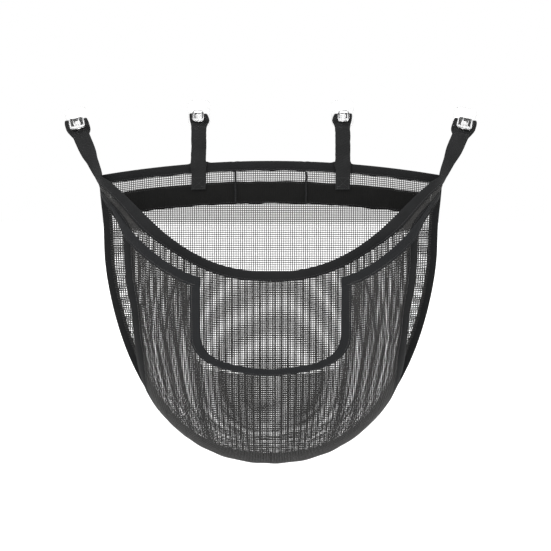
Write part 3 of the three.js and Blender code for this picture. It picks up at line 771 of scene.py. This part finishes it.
def stay(side):
    """Narrow folded strip that runs upright over the net and the band."""
    high = arch_z(STAY_OFFSET)
    z = np.linspace(high - TAPE_WIDTH - 0.5, high - BAND_DROP - BAND_HEIGHT, 60)
    x = side * STAY_OFFSET + waver(z, 40 + side, 0.3, 26)
    path = level(x, z, STAY_DEPTH)
    across = np.broadcast_to([1.0, 0, 0], path.shape)
    strip = ribbon(f"stay_{NAMES[side]}", path, across, *STAY_SIZE, EDGE_TAPE)
    return [strip, sewn(f"stay_{NAMES[side]}_thread", [facing(path[3:-3] + [0, -0.5, 0])], FINE_STITCH)]


def gusset(side):
    """Crescent of net: nearly flat beside the back edge, then round a bend and forward to the side seam."""
    share = np.linspace(SEAM_START, share_at_drop(BODY_HEIGHT * 0.88), 900)
    edge, seam = outline(share), seam_line(share)
    edge = edge + inward(edge) * 9
    start = level(*edge.T, BACK_DEPTH + 1)
    end = level(*seam.T, seam_depth(height_share(seam[:, 1])))
    both = evenly(np.hstack([start, end]), GUSSET_PITCH, (start + end) / 2)
    start, end = both[:, None, :3], both[:, None, 3:]
    turn, leave, join = GUSSET_TURN
    corner = start + (end - start) * GUSSET_FLAT
    corner[..., 1] = start[..., 1] + (end - start)[..., 1] * turn
    first_bend, last_bend = start + (corner - start) * leave, corner + (end - corner) * join
    t = np.linspace(0, 1, 30)[None, :, None]
    section = [start + (first_bend - start) * t, arc(first_bend, corner, last_bend, t),
               last_bend + (end - last_bend) * t]
    section = np.concatenate(section, axis=1)
    run = summed(np.linalg.norm(np.diff(section, axis=1), axis=2), 1)
    steps = np.arange(int(run.max() / GUSSET_PITCH) + 2) * GUSSET_PITCH
    points = np.stack([read_off(steps, a, b) for a, b in zip(run, section)])
    kept = steps[None] <= run[:, -1:] + GUSSET_PITCH / 2
    normals = unit(np.cross(np.gradient(points, axis=0), np.gradient(points, axis=1)) + 1e-9)
    out = [-side, 1, 1]
    return net_panel(f"gusset_net_{NAMES[side]}", points * out, normals * out, kept)


def cloth_rise(x, z):
    """Rise of the net's rows towards the side seams, from which the cloth hangs."""
    return CLOTH_RISE * (np.abs(x) / 180) ** 2.4


def front_lattice(depth, drop, upper_z, seam_margin):
    """Yarn crossings of a net of the front, and which lie below its upper edge and inside the seams."""
    bottom = FOOT_Z + 0.05
    plane = cloth_lattice(depth, CORNER_Z - drop, bottom, cloth_rise, front_half_width, LEAST_DRAW)
    x, z = plane[..., 0], plane[..., 1]
    inside = (z < upper_z(x) - 5) & (z > bottom) & (np.abs(x) < front_half_width(height_share(z)) - 0.3)
    return plane, inside & (seam_distance(plane) > seam_margin * (1 - turned_under(plane)))


def front_panel():
    x = -np.cos(math.pi * np.linspace(0, 1, 900)) * (HALF_WIDTH - MOUTH_REACH)
    edge = evenly(np.stack([x, mouth_z(x)], -1), 1)
    wide = TAPE_WIDTH + 3.2 * bell(np.abs(edge[:, 0]), 150, 26)
    foot = inset_by(edge, -inward(edge), wide, front_depth)
    mouth = tape("mouth_tape", edge, foot, front_depth, EDGE_TAPE, 3)
    line = evenly(seam_line(np.linspace(SEAM_START, 1 - SEAM_START, 2400)), 1)
    tucked = turned_under(line)
    spread = SEAM_TAPE_SPREAD * bell(height_share(line[:, 1]), *SEAM_TAPE_SPREAD_PLACE)
    wide = SEAM_TAPE_WIDTH - SEAM_TAPE_LAP + spread - 8.5 * tucked
    foot = inset_by(line, inward(line), wide, front_depth)
    lap = (SEAM_TAPE_LAP * (1 - tucked) - 1.2 * tucked)[:, None]
    seam = tape("front_seam_tape", line - inward(line) * lap, foot, front_depth, EDGE_TAPE, 4)
    plane, inside = front_lattice(front_depth, 14, mouth_z, 5)
    return mouth, seam, halves("front_net", lifted(plane, front_depth), inside)


def tucked_pocket(plane):
    """The pocket's cloth on the plane points, drawn in under the seam tape at its edge."""
    points = lifted(plane, front_depth)
    x, foot = plane[..., 0], turned_under(plane)
    room = pocket_depth(x, plane[..., 1]) + points[..., 1]
    points[..., 1] -= 0.9 + 2.6 * foot + room * smoothstep(seam_distance(plane), 11 - 6 * foot, 38 - 8 * foot)
    points[..., 2] -= 0.35 * foot * (1 + np.sin(x / 5.5 + 0.4 * np.sin(x / 13)))
    return points


def cutout_line(tape_width=0, foot_width=0):
    """The cut-out's edge, or the line a tape's width outside it, from one top corner to the other."""
    half = CUTOUT_HALF_WIDTH + tape_width
    bottom = CORNER_Z - CUTOUT_DROP - foot_width
    corner = CUTOUT_CORNER + foot_width
    top = slope_z(CUTOUT_HALF_WIDTH) - TAPE_WIDTH * 0.7
    t = np.linspace(0, 1, 200)[:, None]
    bend = np.array([(-half, bottom + corner), (-half, bottom + corner * 0.3),
                     (-half + corner, bottom + corner * 0.12), (-half + corner * 1.667, bottom), (0, bottom)])
    line = np.vstack([[[-half, top]], arc(*bend[:3], t), arc(*bend[2:], t)[1:]])
    line = resampled(evenly(line, 0.4), 500)
    return np.vstack([line, line[-2::-1] * [-1, 1]])


def pocket_panel():
    x = -np.linspace(SLOPE_OUTER_X + 14, CUTOUT_HALF_WIDTH, 900)
    edge = np.stack([x, slope_z(x)], -1)
    foot = edge - inward(edge) * TAPE_WIDTH
    edge, foot = (line[-line[:, 0] < front_half_width(height_share(line[:, 1])) + 1] for line in (edge, foot))
    edge, foot = (resampled(evenly(line, 0.5), 400) for line in (edge, foot))
    foot[-12:, 0] = np.linspace(foot[-12, 0], -CUTOUT_HALF_WIDTH, 12)
    slopes = []
    for name, side in SIDES.items():
        lines = [line * [-side, 1] for line in (edge, foot)]
        slopes.append(tape(f"pocket_slope_tape_{name}", *lines, pocket_depth, POCKET_TAPE, 5 + side))
    outer = cutout_line(CUTOUT_TAPE_WIDTH, CUTOUT_FOOT_WIDTH)
    rim = tape("cutout_tape", cutout_line(), outer, pocket_depth, POCKET_TAPE, 9)
    plane, inside = front_lattice(pocket_depth, 40, slope_z, 9)
    x, z = np.abs(plane[..., 0]), plane[..., 1]
    low = CORNER_Z - CUTOUT_DROP - CUTOUT_FOOT_WIDTH / 2
    rounding, reach = 34, 60
    round_corner = np.hypot(np.maximum(x - reach, 0), np.maximum(low + rounding - z, 0))
    in_corner = (z < low + rounding) & (x > reach)
    hole = (x < CUTOUT_HALF_WIDTH + 5) & (z > low) & ~(in_corner & (round_corner > rounding + 2))
    return slopes, rim, halves("pocket_net", tucked_pocket(plane), inside & ~hole)


# Straps, loops and hooks
RIBBON_PROFILE = [
    (-1, 0.35), (-0.975, 0.85), (-0.93, 1), (-0.88, 0.86), (-0.45, 0.92), (0, 0.9),
    (0.45, 0.92), (0.88, 0.86), (0.93, 1), (0.975, 0.85), (1, 0.35),
]
RIBBON_RING = np.array(RIBBON_PROFILE + [(a, -b) for a, b in RIBBON_PROFILE[::-1]])[None]
ON_STRAP = [0, -STRAP_THICKNESS / 2 - 0.02, 0]
ROW_REACH = np.linspace(-7.5, 7.5, 40)[:, None]


def ribbon(name, path, across, width, thickness, finish):
    """Flat woven strap along a path, its width, which may change, along the given directions."""
    along = unit(np.gradient(path, axis=0))
    normal = unit(np.cross(along, across))
    flat = unit(np.cross(normal, along))
    half = np.broadcast_to(width, len(path))[:, None, None] / 2
    loops = (path[:, None] + flat[:, None] * RIBBON_RING[..., :1] * half
             + normal[:, None] * RIBBON_RING[..., 1:] * thickness / 2)
    return swept(name, loops, finish)


def inner_strap(side):
    """Straight strap: sewn down over the band and the top tape, a little wider where it leaves the tape."""
    x = side * INNER_HOOK_X
    name = f"inner_strap_{NAMES[side]}"
    tail_end, tail_start = arch_z(x) - BAND_DROP - 8, arch_z(x) + 4
    bend_top = STRAP_TOP - 10.3
    bend = bezier([(x, TAIL_Y, tail_start), (x, TAIL_Y, tail_start + 14), (x, STRAP_Y, bend_top - 14),
                   (x, STRAP_Y, bend_top)], 40)
    path = evenly(np.vstack([[[x, TAIL_Y, tail_end]], bend, [[x, STRAP_Y, STRAP_TOP]]]), 0.8)
    z = path[:, 2]
    path[:, 0] += side * 0.9 * smoothstep(-z, 15, 60) + waver(z, 50 + side, 0.35, 40)
    lean = np.radians(waver(z, 52 + side, 2.2, 45)) * smoothstep(z, tail_start, tail_start + 12)
    across = np.stack([np.cos(lean), np.sin(lean), np.zeros_like(z)], -1)
    width = STRAP_WIDTH - 0.4 + 2.6 * bell(z, arch_z(x) - 1.5, 3.4) + waver(z, 54 + side, 0.25, 22)
    strap = ribbon(name, path, across, width, STRAP_THICKNESS, WEBBING)
    rows = [[x, STRAP_Y, high] + ROW_REACH * [1, 0, 0] for high in (STRAP_TOP - 4.6, STRAP_TOP - 6.4)]
    low, high, reach = tail_end + 1.8, tail_end + 15.5, 7.6
    box = [np.array([x + side * 0.9 + a, TAIL_Y, b])
           for a, b in ((-reach, low), (reach, low), (reach, high), (-reach, high))]
    t = np.linspace(0.04, 0.96, 40)[:, None]
    rows += [box[a] + (box[b] - box[a]) * t for a, b in ((0, 1), (1, 2), (2, 3), (3, 0), (0, 2), (1, 3))]
    thread = sewn(f"{name}_thread", [facing(row + ON_STRAP) for row in rows], FINE_STITCH)
    tack = [x + side * -4.5, TAIL_Y, low + 2.4] + np.linspace(-1.6, 1.6, 40)[:, None] * [1, 0, 0]
    return [strap, thread, sewn(f"{name}_tack", [facing(tack + ON_STRAP)], TACK_STITCH)]


# The outer strap's turn in degrees, from edge-on at its sewn end, by share of its free length
OUTER_TURN_PLACES = (0, 0.125, 0.25, 0.35, 0.42, 0.5, 0.6, 0.72, 1)
OUTER_TURNS = (54, 47, 41, 35, 24, 12, 4, 0, 0)
SEWN_TURNS = (84, 68)


def outer_strap(side):
    """Strap sewn on edge-on at the corner, turned to face the room on its straight way up to the hook."""
    foot_x, foot_y = HALF_WIDTH - 0.6, -13.6
    tilt = np.array([math.sin(OUTER_TILT), 0, math.cos(OUTER_TILT)])
    flat = np.array([math.cos(OUTER_TILT), 0, -math.sin(OUTER_TILT)])
    top = np.array([OUTER_HOOK_X, STRAP_Y, -OUTER_HOOK_DROP]) + tilt * STRAP_TOP
    bend = bezier([(foot_x, foot_y, CORNER_Z), (foot_x + 4.1, foot_y, CORNER_Z + 12),
                   top - [4.2, 0, 13], top], 120)
    path = np.vstack([[[foot_x - 2.6, foot_y, CORNER_Z - 14], [foot_x - 1.0, foot_y, CORNER_Z - 7]], bend])
    turn = np.interp(np.linspace(0, 1, 120), OUTER_TURN_PLACES, OUTER_TURNS)
    turn = np.radians(np.concatenate([SEWN_TURNS, turn]))[:, None]
    across = flat * np.cos(turn) + np.array([0, 1.0, 0]) * np.sin(turn)
    both = evenly(np.hstack([path, across]), 1, path)
    for _ in range(6):
        both[1:-1] = (both[:-2] + 2 * both[1:-1] + both[2:]) / 4
    out = [side, 1, 1]
    path, across = both[:, :3] * out, unit(both[:, 3:]) * out
    width = STRAP_WIDTH + 1.6 * smoothstep(path[:, 2], -60, -36) + waver(path[:, 2], 60 + side, 0.2, 25)
    strap = ribbon(f"outer_strap_{NAMES[side]}", path, across, width, STRAP_THICKNESS, WEBBING)
    rows = [facing((top - tilt * back + ROW_REACH * flat) * out + ON_STRAP) for back in (4.6, 6.4, 8.2)]
    return [strap, sewn(f"outer_strap_{NAMES[side]}_thread", rows, FINE_STITCH)]


def hung(points, hanger):
    """Points of a hook or loop, given round its own hook, moved to their place."""
    x, z, tilt = hanger
    points = np.asarray(points, float)
    across, out, up = points[..., 0], points[..., 1], points[..., 2]
    cos, sin = math.cos(tilt), math.sin(tilt)
    return np.stack([across * cos - up * sin + x, out, across * sin + up * cos + z], -1)


def rounded(half_width, half_height, corner, depth, rise, shift=0):
    """Rounded rectangle at a depth from the wall, with as many points whatever its size."""
    corner = min(corner, half_width, half_height)
    line = []
    for turn, (sx, sz) in enumerate(((1, 1), (-1, 1), (-1, -1), (1, -1))):
        angle = np.linspace(0, math.pi / 2, 12) + turn * math.pi / 2
        line.append([sx * (half_width - corner) + corner * np.cos(angle),
                     sz * (half_height - corner) + corner * np.sin(angle)])
    x, z = np.hstack(line)
    return level(x + shift, z + rise, depth)


# Half width of a head, its shift to the middle and its ribs: place, lean, height and size
INNER_HEAD = (7.3, -0.6, [(-0.74, 0.3, 9.4, 0.55), (-0.1, 0.4, 8.0, 0.36), (0.56, 0.6, 9.6, 0.6)])
OUTER_HEAD = (10.0, 0.2, [(-0.86, 0.3, 11.0, 0.9), (-0.34, -0.4, 9.0, 0.45), (0.3, 0.5, 10.6, 0.95),
                          (0.9, 0.2, 10.0, 0.6)])
HEAD_HALF_WIDTH = 7.1
LIP_SIZE = 1.55

# Depth from the wall, half width, half height, corner and height of the middle of each section of the hook
HOOK_SECTIONS = [
    (1.3, 13.0, 16.0, 5.2, 3), (1.5, 13.7, 16.7, 5.8, 3), (2.0, 14, 17, 6, 3), (3.2, 14, 17, 6, 3),
    (3.7, 13.7, 16.7, 5.8, 3), (3.9, 13.0, 16.0, 5.2, 3), (3.95, 6.0, 5.0, 2.0, 0),
    (4.2, 4.4, 2.9, 1.4, -0.3), (4.9, 3.0, 1.6, 1.0, -0.3), (5.8, 2.4, 1.2, 0.8, -0.2),
    (15.6, 2.4, 1.2, 0.8, -0.2), (16.7, 3.2, 1.9, 1.1, -0.3), (17.1, 5.0, 4.0, 2.2, -0.2),
    (17.25, 6.5, 6.3, 3.4, 0), (17.7, 7.0, 6.9, 4, 0), (18.3, 7.1, 7, 4, 0), (19.6, 7.1, 7, 4, 0),
    (20.1, 6.9, 6.8, 3.9, 0), (20.4, 6.3, 6.2, 3.6, 0),
    (20.45, 4.4, 4.4, 2.6, 0), (20.2, 2.0, 2.0, 1.2, 0),
]
# Depth and how much smaller than the pad each of its sections is
PAD_SECTIONS = [(0, 0.35), (0.25, 0), (0.75, 0), (1.0, 0.35)]
PAD_SIZE = (13, 16, 6)
PAD_RISE = 3


def hook(name, hanger):
    """Clear plate, stem and head in one, the head with a thick lip and upright ribs, whose near-white colour
    is a painted highlight.
    """
    mirror = -1 if name.endswith("right") else 1
    wide, shift, ribs = OUTER_HEAD if name.startswith("outer") else INNER_HEAD
    shift = shift * mirror
    loops = []
    for depth, half_width, half_height, corner, rise in HOOK_SECTIONS:
        is_head = smoothstep(depth, 16.2, 17.2)
        half_width = half_width + (wide - HEAD_HALF_WIDTH) * is_head * half_width / HEAD_HALF_WIDTH
        loops.append(rounded(half_width, half_height, corner, depth, rise, shift * is_head))
    made = [swept(f"hook_{name}", hung(loops, hanger), CLEAR_PLASTIC)]
    turn = np.linspace(0, 2 * math.pi, 16, endpoint=False)
    x = np.linspace(-1, 1, 40)
    sizes = LIP_SIZE * (1 - 0.35 * np.abs(x) ** 6) + 0.12 * np.sin(x * 9 + wide)
    lip = [level(shift + a * (wide - 1.1), -4.3 - 0.4 * (1 - a * a) + size * np.sin(turn),
                 19.4 - 1.25 * np.cos(turn)) for a, size in zip(x, sizes)]
    made.append(swept(f"hook_{name}_lip", hung(lip, hanger), HIGHLIGHT_PAINTED_PLASTIC))
    t = np.linspace(0, 1, 14)
    for number, (place, lean, height, thick) in enumerate(ribs):
        centre = shift + mirror * (place * wide + lean * t)
        size = thick * (1 - t**3) ** 0.7 + 0.12
        rib = [level(a + r * np.cos(turn), -4.6 + height * b, 20.1 - 0.55 * np.sin(turn) * (r + 0.3))
               for a, r, b in zip(centre, size, t)]
        made.append(swept(f"hook_{name}_rib_{number}", hung(rib, hanger), HIGHLIGHT_PAINTED_PLASTIC))
    return made


def pad(name, hanger):
    loops = [rounded(*(size - small for size in PAD_SIZE), depth, PAD_RISE) for depth, small in PAD_SECTIONS]
    return swept(f"adhesive_{name}", hung(loops, hanger), CLEAR_GEL)


# Outer edge of the cloth round each stem, from its lower left round the top, then half of the stem's hole
NARROW_LOOP = [(-9.5, -18), (-10.2, -12), (-11.4, -7), (-12.0, -2.6), (-12.1, 1.4), (-11.0, 3.2), (-6.4, 3.3),
               (-3.0, 3.6), (0, 3.7), (2.8, 3.4), (6, 2.9), (10.0, 2.7), (11.8, 0.2), (13.4, -4.4),
               (13.2, -7.6), (10.9, -12), (9, -18)]
WIDE_LOOP = [(-10, -18), (-13.2, -12.8), (-15.5, -8.4), (-16.4, -3), (-16.4, 2.8), (-14.6, 6.4), (-9, 5.7),
             (-4, 5.2), (0, 5.2), (4, 4.9), (8.5, 4.6), (12.6, 4.6), (13.9, 2), (14.6, -3.5), (14.8, -7.5),
             (14, -12.4), (10.4, -18)]
HALF_HOLE = [(-0.1, -18), (-0.1, -12), (-0.1, -7.7), (-3.2, -7.5), (-5.2, -6.9), (-5.3, -3.3), (-2.9, -2.7),
             (-2.8, 1.1)]
STEM_HOLE = HALF_HOLE + [(0, 1.5)] + [(-x, z) for x, z in HALF_HOLE[::-1]]


def loop(name, hanger):
    """Wide soft tape that goes up from behind the strap, round the stem and down again, ends side by side."""
    mirror = -1 if name.endswith("right") else 1
    outer = WIDE_LOOP if name.startswith("outer") else NARROW_LOOP
    lines = [resampled(smooth_line(np.array(line, float)), 110) for line in (outer, STEM_HOLE)]
    rows = np.linspace(0, 1, 9)[:, None, None]
    plane = lines[0] * (1 - rows) + lines[1] * rows
    depth = LOOP_DEPTH + 2.0 * smoothstep(plane[..., 1], -9.5, -5) + 0.35 * bell(rows[..., 0], 0.12, 0.12)
    grid = level(plane[..., 0] * mirror, plane[..., 1], depth)
    return cloth_strip(f"loop_{name}", hung(grid, hanger), LOOP_THICKNESS, WEBBING)


def riding(pieces, body, node):
    """Pieces on a body, with the solid that they stand for hidden."""
    for piece in pieces:
        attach(piece, body)
        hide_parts(node)


def make_bag():
    """All pieces of the bag on the bag's body, with the solids that they stand for hidden; the finish slot
    listed in each set is not used.
    """
    rim, head, back_nets = back_panel()
    mouth, seam, front_nets = front_panel()
    slopes, cutout, pocket_nets = pocket_panel()
    sets = [(rim, "back_edge_binding", "binding_tape"), (head, "back_top_binding", "binding_tape"),
            (mouth, "front_top_binding", "binding_tape"), (seam, "front_seam_binding", "binding_tape"),
            (cutout, "pocket_cutout_binding", "pocket_tape"), (back_band(), "back_band", "binding_tape"),
            (back_nets, "back_mesh", "net_cloth"), (front_nets, "front_mesh", "net_cloth"),
            (pocket_nets, "pocket_mesh", "net_cloth")]
    for (side, way), slope in zip(SIDES.items(), slopes):
        net = gusset(way)
        sets += [(slope, f"pocket_slope_binding_{side}", "pocket_tape"),
                 ([net], f"gusset_mesh_{side}", "net_cloth"),
                 (stay(way), f"back_stay_{side}", "binding_tape"),
                 (inner_strap(way), f"strap_inner_{side}", "webbing"),
                 (outer_strap(way), f"strap_outer_{side}", "webbing")]
    for pieces, node, slot in sets:
        riding(pieces, "bag", node)


def make_hangers():
    for name, hanger in HANGERS.items():
        riding(hook(name, hanger), "wall_hooks", f"wall_hook_{name}")
        riding([pad(name, hanger)], "wall_hooks", f"adhesive_pad_{name}")
        piece = loop(name, hanger)
        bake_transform(piece)
        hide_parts(f"hanging_loop_{name}")


# Studio
FLOOR_Z = -0.62
FLOOR_SIZE = 14
FLOOR_GLOW = {1: 0.3, 2: 1.5, 3: 0.3, 4: 1.0}
SKY_LIGHT = 0.6
MIDDLE_OF_BAG = (0, -0.05, -0.24)
# Place, size and power of each lamp
LAMPS = {"key": ((-1.1, -1.9, 1.2), 1.2, 28), "fill": ((1.5, -1.6, 0.5), 1.6, 9),
         "top": ((0.1, -0.4, 1.5), 1.2, 10)}


def seen_rays(tree):
    """1 for what the camera, gloss or clear plastic sees, 0 for the light that falls on the object."""
    rays = add_node(tree, "ShaderNodeLightPath").outputs
    seen = calc(tree, "MAXIMUM", rays["Is Camera Ray"], rays["Is Glossy Ray"])
    return calc(tree, "MAXIMUM", seen, rays["Is Transmission Ray"])


def studio():
    """White floor that keeps the shadow under the bag and runs out into the white surroundings."""
    bpy.ops.mesh.primitive_plane_add(size=FLOOR_SIZE, location=(0, 0, FLOOR_Z))
    floor = bpy.context.object
    floor.name = "floor"
    paint = material("White floor", (0.93, 0.93, 0.93), 0.9)
    tree = paint.node_tree
    place = add_node(tree, "ShaderNodeTexCoord").outputs["Object"]
    away = add_node(tree, "ShaderNodeVectorMath", {0: place}, operation="LENGTH").outputs["Value"]
    glow = add_node(tree, "ShaderNodeMapRange", {0: away, **FLOOR_GLOW}).outputs[0]
    shader = shader_of(paint)
    shader.inputs["Emission Color"].default_value = (1, 1, 1, 1)
    tree.links.new(calc(tree, "MULTIPLY", glow, seen_rays(tree)), shader.inputs["Emission Strength"])
    floor.data.materials.append(paint)
    scene.world = scene.world or bpy.data.worlds.new("World")
    scene.world.use_nodes = True
    tree = scene.world.node_tree
    sky = tree.nodes["Background"]
    level_of = add_node(tree, "ShaderNodeMapRange", {0: seen_rays(tree), 3: SKY_LIGHT, 4: 1.0})
    sky.inputs["Color"].default_value = (1, 1, 1, 1)
    tree.links.new(level_of.outputs[0], sky.inputs["Strength"])
    for name, (place, size, power) in LAMPS.items():
        light = bpy.data.lights.new(name, "AREA")
        light.shape, light.size, light.energy = "DISK", size, power
        lamp = add_object(light)
        lamp.location = place
        lamp.rotation_euler = (Vector(MIDDLE_OF_BAG) - Vector(place)).to_track_quat("-Z", "Y").to_euler()


def camera():
    """The photograph's view, from a little above the middle of the bag."""
    pixels, sensor = 551, 36
    distance, target_z, elevation = 1.9, -0.241, math.radians(7)
    metres_per_pixel = 0.00132
    middle = (270.75, 300)
    data = bpy.data.cameras.new("camera")
    data.sensor_width = sensor
    data.lens = sensor * distance / metres_per_pixel / pixels
    data.shift_x = (pixels / 2 - middle[0]) / pixels
    data.shift_y = (middle[1] - pixels / 2) / pixels
    made = add_object(data)
    made.location = (0, -distance * math.cos(elevation), target_z + distance * math.sin(elevation))
    made.rotation_euler = (math.pi / 2 - elevation, 0, 0)
    scene.camera = made


camera()
studio()
make_bag()
make_hangers()
scene.view_settings.view_transform = "Standard"
